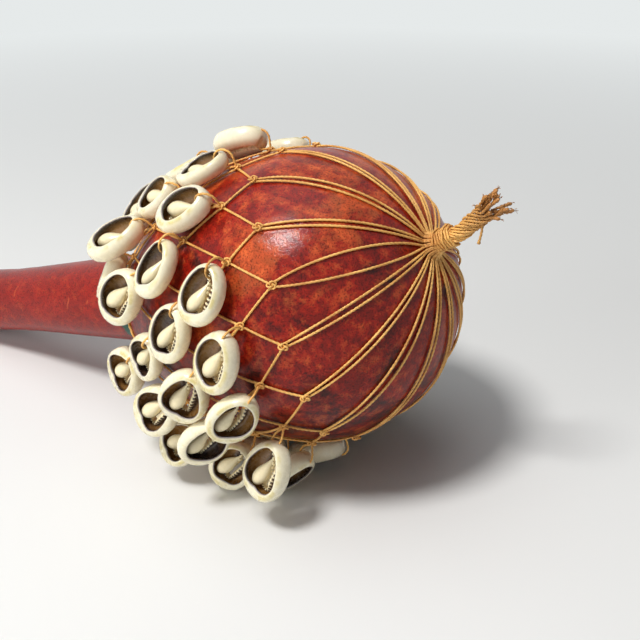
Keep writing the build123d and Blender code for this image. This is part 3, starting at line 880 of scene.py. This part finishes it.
def tail_strands():
    """The tail's strands, twisted together and then let loose in a brush."""
    tail = settings("tail")
    way, side, over = tail_directions()
    chance = random.Random(11)
    routes = []
    fibres = []
    for count, reach, spare in ((13, 1.0, 0.0), (7, 0.5, 0.0012)):
        for i in range(count):
            first = math.tau * i / count
            brush = tail.brush * chance.uniform(0.45, 1.0) + spare
            fan = math.radians(chance.uniform(8, 44)) * reach
            curl = Vector((chance.uniform(-1, 1), chance.uniform(-1, 1), chance.uniform(-0.6, 1.0)))
            line = []
            for k in range(STRAND_STEPS + 1):
                share = k / STRAND_STEPS
                bent = GATHER.lerp(way, min(1.0, share * 2)).normalized()
                middle = TAIL_ROOT + bent * (tail.bundle * share - ROOT_DEPTH * (1 - share))
                a = first + STRAND_TWIST * share
                lump = 0.12 * math.sin(9 * share + 5 * first)
                radius = tail.radius * reach * (0.92 + lump + 0.25 * share * share)
                line.append(middle + (side * math.cos(a) + over * math.sin(a)) * radius)
            last = first + STRAND_TWIST
            spoke = side * math.cos(last) + over * math.sin(last)
            root = line[-1]
            for k in range(1, BRUSH_STEPS + 1):
                share = k / BRUSH_STEPS
                lean = fan * min(1.0, share * 1.6)
                loose = (way * math.cos(lean) + spoke * math.sin(lean)) * (brush * share)
                line.append(root + loose + curl * (CURL * share * share))
            routes.append(even(line))
            ending = (line[-1] - line[-3]).normalized()
            for _ in range(TIP_FIBRES):
                stray = Vector((chance.uniform(-1, 1), chance.uniform(-1, 1), chance.uniform(-1, 1)))
                heading = (ending + stray * 0.55).normalized()
                reach_out = chance.uniform(0.5, 1.4) * MM
                tip = line[-1]
                droop = Vector((0, 0, -0.25 * reach_out))
                halfway = tip + heading * (0.5 * reach_out)
                fibres.append([tip - ending * FIBRE_ROOT, halfway, tip + heading * reach_out + droop])
    return routes, fibres


def stray_strand():
    """One strand that has come loose and hangs under the tail."""
    tail = settings("tail")
    way, side, over = tail_directions()
    root = TAIL_ROOT + way * (0.75 * tail.bundle) + over * (0.8 * tail.radius) + side * (0.4 * tail.radius)
    below = root + way * 0.0012 + Vector((0, 0, -0.0022))
    line = []
    for i in range(STRAY_STEPS + 1):
        share = i / STRAY_STEPS
        start = root.lerp(below, share)
        end = below.lerp(root + Vector((-0.0006, 0, -0.0075)), share)
        line.append(start.lerp(end, share))
    return even(line)


def make_tail():
    net = settings("net")
    routes, fibres = tail_strands()
    routes.append(stray_strand())

    def frayed(share):
        return 1.0 + 0.5 * smooth_step(share, 0.84, 0.97) - 0.4 * smooth_step(share, 0.97, 1.0)

    strands = twisted_cords("tail_strands", routes, 1.05 * net.cord, STRAND_LAY, swell=frayed)
    loose = twisted_cords("tail_fibres", fibres, 0.20 * net.cord, FIBRE_LAY, plies=2)
    bm = bmesh.new()
    for mesh in (strands, loose):
        bm.from_mesh(mesh)
        bpy.data.meshes.remove(mesh)
    mesh = bpy.data.meshes.new("cord_tail")
    bm.to_mesh(mesh)
    bm.free()
    piece = put("cord_tail", mesh, waxed_cord("tail_cord", tail_tint=True))
    way = tail_directions()[0]
    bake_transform(piece, "net", "tail", start=TAIL_ROOT - way * 0.002, end=TAIL_ROOT + way * 0.004)
    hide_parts("tail")


# A cowrie's shape: the points round it, those for one tooth and gap, and millimetres and shares
# for its slit, its egg shape, its cut rim, the notches at its ends and its fold
STATIONS = 112
TOOTH_STATIONS = 4
TOOTH = 0.26
TOOTHED = 0.2
SLIT_MIDDLE = 0.30
SLIT_REACH = 6.5
SLIT_CURVE = 1.2
EGG = 0.10
END_BAND = 1.0
RAGGED = 1.3
CHIPS = 0.45
NOTCH = 1.6
NOTCH_UNDER = 0.48
NOTCH_WIDTH = 0.75
FOLD_START = (-7.0, 1.9, -0.6)
FOLD_RUN = (11.9, -1.25, -1.3)
FOLD_WIDTH = 3.05
FOLD_HEIGHT = 2.5

# How the cowries hang: kinds of shell, their sizes and turns, and the room that they need
KINDS = 5
SMALLEST = 0.96
SHELL_SIZES = (1.00, 1.04, 1.08, 1.12, 1.16, 1.20)
TURN_SHARES = (1.0, 0.4, 0.0)
ROLL = 24
YAW = 14
TURNED_OVER = 0.3
TURNED_ROLL = (45, 62)
ROLL_SLACK = 0.004
LOOP_ROOM = 0.66
NEIGHBOUR_REACH = 0.05
BOX_MARGIN = 0.003


def smooth_step(value, low, high):
    share = min(1.0, max(0.0, (value - low) / (high - low)))
    return share * share * (3 - 2 * share)


def side_point(a, inset, height):
    """A point of the shell's egg-shaped outline, taken in by a distance. Millimetres."""
    shells = settings("cowries")
    if height > 0:
        inset *= 1 + END_BAND * max(0.0, -math.cos(a)) ** 2
    x = (shells.half_length / MM - inset) * math.cos(a)
    y = (shells.half_width / MM - inset) * math.sin(a) * (1 - EGG * math.cos(a))
    return Vector((x, y))


def slit_point(a, half_width, tooth):
    """A point of a line round the curved slit, with its teeth. Millimetres."""
    flat = max(-1.0, min(1.0, 3 * math.sin(a)))
    x = SLIT_MIDDLE + (SLIT_REACH + 0.15 * half_width) * math.cos(a)
    width = half_width + tooth * (1 - math.cos(a) ** 4) + 0.4 * smooth_step(x, 3.6, 5.2)
    return Vector((x, width * flat - SLIT_CURVE * (1 - smooth_step(x, 1.5, 5.5))))


def in_gap(station):
    """Whether a station is at a gap between two teeth of the slit."""
    return station % TOOTH_STATIONS < TOOTH_STATIONS / 2


def section_point(station, ring, quirks):
    """Where one ring of the shell's section passes a station. Millimetres."""
    kind, reach, height, across, inside = ring
    a = math.tau * station / STATIONS
    tooth = 0.0
    if across < TOOTHED:
        tooth = TOOTH if in_gap(station) else -TOOTH
    if kind == "side":
        waver = RAGGED * quirks["rim"] * math.sin(3 * a + quirks["turn"]) if height > 0 else 0.0
        flat = side_point(a, reach * (1 + waver), height)
    elif kind == "slit":
        flat = slit_point(a, reach, tooth)
    else:
        flat = (slit_point(a, 2.0, 0.0) + side_point(a, 2.4, 0.0)) / 2
    level = height
    if inside and across < 0.3 and math.sin(a) < 0:
        level += 0.9 * math.sin(a) ** 2
    if across > 0.9:
        wave = math.sin(2 * a + quirks["turn"]) - 1
        chips = CHIPS * (math.sin(9 * a + 3 * quirks["turn"]) - 1)
        level += quirks["rim"] * (wave + chips) + quirks["cut"] * (flat.x - 10)
    if not inside and kind == "side":
        low = 1 - smooth_step(level, -3.6, -0.6)
        notch = (NOTCH if reach < 2.0 else NOTCH_UNDER) * math.exp(-(flat.y / NOTCH_WIDTH) ** 2) * low
        flat.x += notch if math.cos(a) < 0 else -0.8 * notch
    return Vector((flat.x, flat.y, level)) * MM


def make_cup(bm, quirks):
    """The shell's cup: a ring of edges drawn out ring by ring along the section."""
    station = bm.verts.layers.int.new("station")
    across = bm.verts.layers.float.new("across")
    inside = bm.verts.layers.float.new("inside")
    made = bmesh.ops.create_circle(bm, segments=STATIONS, radius=0.01)
    verts = made["verts"]
    for i, vert in enumerate(verts):
        vert[station] = i
    edges = bm.edges[:]
    first = edges
    for k, ring in enumerate(SECTION):
        share, inner = ring[3:]
        if k:
            made = bmesh.ops.extrude_edge_only(bm, edges=edges)["geom"]
            verts = [item for item in made if isinstance(item, bmesh.types.BMVert)]
            edges = [item for item in made if isinstance(item, bmesh.types.BMEdge)]
            edges = [edge for edge in edges if edge.verts[0] in verts and edge.verts[1] in verts]
        for vert in verts:
            vert.co = section_point(vert[station], ring, quirks)
            # Painted shade: stations at the gaps between the slit's teeth are pushed on to the darker hollow
            # colour.
            dark = inner and share < TOOTHED and in_gap(vert[station])
            vert[across] = share + (TOOTHED if dark else 0.0)
            vert[inside] = inner
    bmesh.ops.bridge_loops(bm, edges=first + edges)


def make_fold(bm, quirks):
    """The rolled fold beside the slit, a drop with its point at the tied end."""
    across = bm.verts.layers.float["across"]
    inside = bm.verts.layers.float["inside"]
    made = bmesh.ops.create_uvsphere(bm, u_segments=24, v_segments=16, radius=1.0)
    verts = made["verts"]
    bmesh.ops.rotate(bm, verts=verts, matrix=Matrix.Rotation(math.pi / 2, 3, "Y"))
    for vert in verts:
        x, y, z = vert.co
        share = (x + 1) / 2
        slim = 1 - smooth_step(share, 0.20, 1.0) * 0.88
        place = Vector([start + run * share for start, run in zip(FOLD_START, FOLD_RUN)])
        wide = quirks["fold"] * FOLD_WIDTH * slim
        vert.co = (place + Vector((0, y * wide, z * FOLD_HEIGHT * slim))) * MM
        vert[across] = TOOTHED / 2
        vert[inside] = 1.0


def cowrie_mesh(quirks):
    bm = bmesh.new()
    make_cup(bm, quirks)
    make_fold(bm, quirks)
    return mesh_from("cowrie", bm)


def shell_place(name, size, roll, yaw):
    """A shell's place: tied at its hinge and lying as the frame's shell does, but for its turns."""
    shells = settings("cowries")
    joint = JOINTS[f"{name}_swing"]
    hinge = Vector(joint["pos_m"])
    swing = Vector(joint["axis"]).normalized()
    farthest = Vector()
    for vertex in frame["nodes"][name].data.vertices:
        reach = vertex.co - hinge
        reach -= swing * reach.dot(swing)
        if reach.length > farthest.length:
            farthest = reach
    lie = farthest.normalized()
    lie.rotate(Quaternion(swing, -math.asin(shells.rim_height / farthest.length)))
    up = swing.cross(lie)
    turn = Matrix((-lie, swing, up)).transposed().to_4x4()
    hung = Matrix.Translation((-shells.hinge_place, 0, 0))
    rolled = turn @ Matrix.Rotation(yaw, 4, "Z") @ Matrix.Rotation(roll, 4, "X")
    slack = up * (ROLL_SLACK * abs(math.sin(roll)) + shells.floor_depth * (size - 1))
    return Matrix.Translation(hinge + slack) @ rolled @ Matrix.Diagonal((size, size, size, 1)) @ hung


def shell_hull(mesh):
    """A closed hull round a shell, for finding the room it has."""
    bm = bmesh.new()
    bm.from_mesh(mesh)
    made = bmesh.ops.convex_hull(bm, input=bm.verts[:])
    spare = [item for item in made["geom_interior"] if isinstance(item, bmesh.types.BMVert)]
    bmesh.ops.delete(bm, geom=spare, context="VERTS")
    bmesh.ops.delete(bm, geom=[face for face in bm.faces if face not in made["geom"]], context="FACES")
    return bm


def swung_hulls(name, hull, place):
    """A shell's hull at rest and at both ends of its swing, each as a tree of faces."""
    joint = JOINTS[f"{name}_swing"]
    hinge = Matrix.Translation(joint["pos_m"])
    trees = []
    for turn in (0.0, *joint["range_deg"]):
        swung = hinge @ Matrix.Rotation(math.radians(turn), 4, Vector(joint["axis"])) @ hinge.inverted()
        moved = hull.copy()
        bmesh.ops.transform(moved, matrix=swung @ place, verts=moved.verts[:])
        trees.append(BVHTree.FromBMesh(moved))
        moved.free()
    return trees


def meets_loop(tree, loop):
    """Whether a hull touches or holds a part of a loop of cord."""
    room = LOOP_ROOM * settings("net").cord
    for point in loop:
        near, normal, _, apart = tree.find_nearest(point)
        if apart < room or (point - near).dot(normal) < 0:
            return True
    return False


def has_room(name, trees, hung, loops):
    """Whether a shell stays clear of all the other shells and their loops, however they swing."""
    hinge = Vector(JOINTS[f"{name}_swing"]["pos_m"])
    for other_name, other_trees in hung.items():
        apart = (Vector(JOINTS[f"{other_name}_swing"]["pos_m"]) - hinge).length
        if other_name == name or apart > NEIGHBOUR_REACH:
            continue
        if any(meets_loop(tree, loops[other_name]) for tree in trees):
            return False
        for i, tree in enumerate(trees):
            for k, other in enumerate(other_trees):
                if (i == k or 0 in (i, k)) and tree.overlap(other):
                    return False
    return True


def stays_inside(hull, place):
    """Whether a shell stays over the floor and, but for a small margin, in the solids' box."""
    low, high = cad_box
    for vert in hull.verts:
        point = place @ vert.co
        if point.z < 0:
            return False
        if any(point[i] < low[i] - BOX_MARGIN or point[i] > high[i] + BOX_MARGIN for i in range(3)):
            return False
    return True


def grown_shells(kinds, chance):
    """Each shell's kind and place: all start small, and grow in turn while they have room."""
    names = sorted(node for node in frame["nodes"] if node.startswith("cowrie_"))
    loops = {name: tie_route(name, way)[::4] for name, way in tied_shells().items()}
    chosen = {}
    turns = {}
    places = {}
    hung = {}
    for name in names:
        chosen[name] = chance.choice(kinds)
        roll = chance.uniform(-ROLL, ROLL)
        if chance.random() < TURNED_OVER:
            roll = chance.choice((-1, 1)) * chance.uniform(*TURNED_ROLL)
        turns[name] = (math.radians(roll), math.radians(chance.uniform(-YAW, YAW)))
        places[name] = shell_place(name, SMALLEST, 0.0, 0.0)
        hung[name] = swung_hulls(name, chosen[name][1], places[name])
    for size in SHELL_SIZES:
        for name in names:
            hull = chosen[name][1]
            roll, yaw = turns[name]
            for share in TURN_SHARES:
                place = shell_place(name, size, roll * share, yaw * share)
                trees = swung_hulls(name, hull, place)
                if stays_inside(hull, place) and has_room(name, trees, hung, loops):
                    places[name] = place
                    hung[name] = trees
                    break
    return {name: (chosen[name][0], places[name]) for name in names}


def make_cowries():
    chance = random.Random(23)
    kinds = []
    for _ in range(KINDS):
        quirks = {
            "rim": chance.uniform(0.05, 0.16), "turn": chance.uniform(0, math.tau),
            "cut": chance.uniform(0.0, 0.03), "fold": chance.uniform(0.9, 1.1),
        }
        mesh = cowrie_mesh(quirks)
        kinds.append((mesh, shell_hull(mesh)))
    enamel = cowrie_enamel()
    for name, (kind, place) in grown_shells(kinds, chance).items():
        mesh = kind.copy()
        mesh.transform(place)
        tone = mesh.attributes.new("tone", "FLOAT", "POINT")
        tone.data.foreach_set("value", [chance.uniform(0.0, 1.0)] * len(mesh.vertices))
        piece = put(f"{name}_shell", mesh, enamel)
        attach(piece, name)
        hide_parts(name)
    for mesh, hull in kinds:
        bpy.data.meshes.remove(mesh)
        hull.free()


# The stage
def add_lamp(name, place, target, size, power, tint):
    lamp = bpy.data.lights.new(name, "AREA")
    lamp.shape = "DISK"
    lamp.size = size
    lamp.energy = power
    lamp.color = tint
    holder = bpy.data.objects.new(name, lamp)
    holder.location = place
    holder.rotation_mode = "QUATERNION"
    holder.rotation_quaternion = (target - place).to_track_quat("-Z", "Y")
    bpy.context.scene.collection.objects.link(holder)
    return holder


def background_rays(tree):
    """1 for rays that show the background: the camera's own, mirrored ones and those seen through glass."""
    rays = tree.nodes.new("ShaderNodeLightPath").outputs
    seen = rays["Is Camera Ray"]
    for kind in ("Is Glossy Ray", "Is Transmission Ray"):
        either = tree.nodes.new("ShaderNodeMath")
        either.operation = "MAXIMUM"
        tree.links.new(seen, either.inputs[0])
        tree.links.new(rays[kind], either.inputs[1])
        seen = either.outputs["Value"]
    return seen


def make_floor(stage):
    bm = bmesh.new()
    bmesh.ops.create_circle(bm, cap_ends=True, segments=96, radius=6.0)
    mesh = bpy.data.meshes.new("floor")
    bm.to_mesh(mesh)
    bm.free()
    finish = Finish("pale_floor")
    far = finish.span(finish.distance(CENTRE), 0.25, 1.1)
    glow = finish.times(far, background_rays(finish.tree))
    tint = finish.mix(glow, stage.floor, (0.0, 0.0, 0.0))
    floor = put("floor", mesh, finish.shade(
        Base_Color=tint, Roughness=0.60, Specular_IOR_Level=finish.span(far, 0.0, 1.0, 0.10, 0.0),
        Emission_Color=stage.backdrop, Emission_Strength=glow,
    ))


def make_world(stage):
    """A dim sky for the light, and the backdrop's colour wherever the background is seen."""
    world = bpy.data.worlds.new("studio")
    bpy.context.scene.world = world
    world.use_nodes = True
    nodes = world.node_tree.nodes
    links = world.node_tree.links
    sky = nodes["Background"]
    sky.inputs["Color"].default_value = (0.94, 0.97, 1.0, 1)
    sky.inputs["Strength"].default_value = 0.10
    backdrop = nodes.new("ShaderNodeBackground")
    backdrop.inputs["Color"].default_value = (*stage.backdrop, 1)
    choice = nodes.new("ShaderNodeMixShader")
    links.new(background_rays(world.node_tree), choice.inputs["Fac"])
    links.new(sky.outputs["Background"], choice.inputs[1])
    links.new(backdrop.outputs["Background"], choice.inputs[2])
    links.new(choice.outputs["Shader"], nodes["World Output"].inputs["Surface"])


def camera_directions(stage):
    """Right, up and backwards, as the camera stands."""
    sin_a = math.sin(stage.azimuth)
    cos_a = math.cos(stage.azimuth)
    cos_e = math.cos(stage.elevation)
    back = Vector((sin_a * cos_e, -cos_a * cos_e, math.sin(stage.elevation)))
    right = Vector((cos_a, sin_a, 0))
    return right, back.cross(right), back


def make_camera(stage):
    right, up, back = camera_directions(stage)
    across = (PHOTO_CENTRE[0] - PHOTO_SIDE / 2) / PHOTO_FOCUS
    above = (PHOTO_SIDE / 2 - PHOTO_CENTRE[1]) / PHOTO_FOCUS
    lens = bpy.data.cameras.new("camera")
    lens.sensor_width = SENSOR
    lens.lens = SENSOR * PHOTO_FOCUS / PHOTO_SIDE
    lens.clip_start = 0.01
    camera = bpy.data.objects.new("camera", lens)
    camera.location = CENTRE + (back - right * across - up * above) * stage.distance
    camera.rotation_mode = "QUATERNION"
    camera.rotation_quaternion = Matrix((right, up, back)).transposed().to_quaternion()
    bpy.context.scene.collection.objects.link(camera)
    bpy.context.scene.camera = camera


def make_lamps(stage):
    """A key lamp over the left shoulder, a soft fill from the left and an even light from above."""
    right, _, back = camera_directions(stage)
    key = CENTRE + back * 0.48 - right * 0.48 + Vector((0, 0, 0.96))
    add_lamp("key", key, CENTRE, size=0.32, power=13.4, tint=(1.0, 0.98, 0.95))
    left = CENTRE + back * 0.50 - right * 0.80 - Vector((0, 0, 0.02))
    fill = add_lamp("fill", left, CENTRE, size=0.60, power=3.6, tint=(1.0, 0.99, 0.97))
    fill.visible_glossy = False
    sun = bpy.data.lights.new("overhead", "SUN")
    sun.angle = math.radians(50)
    sun.energy = 0.62
    holder = bpy.data.objects.new("overhead", sun)
    holder.rotation_mode = "QUATERNION"
    holder.rotation_quaternion = (right * 0.25 + back * 0.1 - Vector((0, 0, 1))).to_track_quat("-Z", "Y")
    bpy.context.scene.collection.objects.link(holder)


def make_stage():
    """All that the shekere is shown with, on the photograph's terms."""
    stage = settings("stage")
    make_floor(stage)
    make_world(stage)
    make_camera(stage)
    make_lamps(stage)
    bpy.context.scene.view_settings.view_transform = "Standard"


class SHEKERE_OT_gourd(bpy.types.Operator):
    """Model the varnished gourd with its open neck"""
    bl_idname = "shekere.gourd"
    bl_label = "Gourd"

    def execute(self, context):
        piece = make_gourd()
        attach(piece, "gourd")
        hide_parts("gourd")
        return {"FINISHED"}


class SHEKERE_OT_net(bpy.types.Operator):
    """Tie the net of twisted cords, with its knots, shell loops and collar"""
    bl_idname = "shekere.net"
    bl_label = "Net"

    def execute(self, context):
        make_net()
        return {"FINISHED"}


class SHEKERE_OT_wrapping(bpy.types.Operator):
    """Wind the cord round the gathered ends"""
    bl_idname = "shekere.wrapping"
    bl_label = "Gather wrapping"

    def execute(self, context):
        make_wrapping()
        return {"FINISHED"}


class SHEKERE_OT_tail(bpy.types.Operator):
    """Twist the tail and fray its ends"""
    bl_idname = "shekere.tail"
    bl_label = "Tail"

    def execute(self, context):
        make_tail()
        return {"FINISHED"}


class SHEKERE_OT_cowries(bpy.types.Operator):
    """Hang the cut cowries on their loops"""
    bl_idname = "shekere.cowries"
    bl_label = "Cowries"

    def execute(self, context):
        make_cowries()
        return {"FINISHED"}


class SHEKERE_OT_stage(bpy.types.Operator):
    """Lay the floor, and set the lights and the camera"""
    bl_idname = "shekere.stage"
    bl_label = "Stage"

    def execute(self, context):
        make_stage()
        return {"FINISHED"}


class SHEKERE_PT_panel(bpy.types.Panel):
    """Lists the shekere's pieces"""
    bl_idname = "SHEKERE_PT_panel"
    bl_label = "Shekere"
    bl_space_type = "VIEW_3D"
    bl_region_type = "UI"
    bl_category = "Shekere"

    def draw(self, context):
        for operator in OPERATORS:
            self.layout.operator(operator.bl_idname)


SETTINGS = {
    "shekere_gourd": GourdSettings,
    "shekere_net": NetSettings,
    "shekere_tail": TailSettings,
    "shekere_cowries": CowrieSettings,
    "shekere_stage": StageSettings,
}
OPERATORS = (
    SHEKERE_OT_gourd, SHEKERE_OT_net, SHEKERE_OT_wrapping,
    SHEKERE_OT_tail, SHEKERE_OT_cowries, SHEKERE_OT_stage,
)
CLASSES = (*SETTINGS.values(), *OPERATORS, SHEKERE_PT_panel)


def register():
    for kind in CLASSES:
        bpy.utils.register_class(kind)
    for name, group in SETTINGS.items():
        setattr(bpy.types.Scene, name, PointerProperty(type=group))


def unregister():
    for name in SETTINGS:
        delattr(bpy.types.Scene, name)
    for kind in reversed(CLASSES):
        bpy.utils.unregister_class(kind)


def main():
    register()
    bpy.ops.shekere.gourd()
    bpy.ops.shekere.net()
    bpy.ops.shekere.wrapping()
    bpy.ops.shekere.tail()
    bpy.ops.shekere.cowries()
    bpy.ops.shekere.stage()


if __name__ == "__main__":
    main()
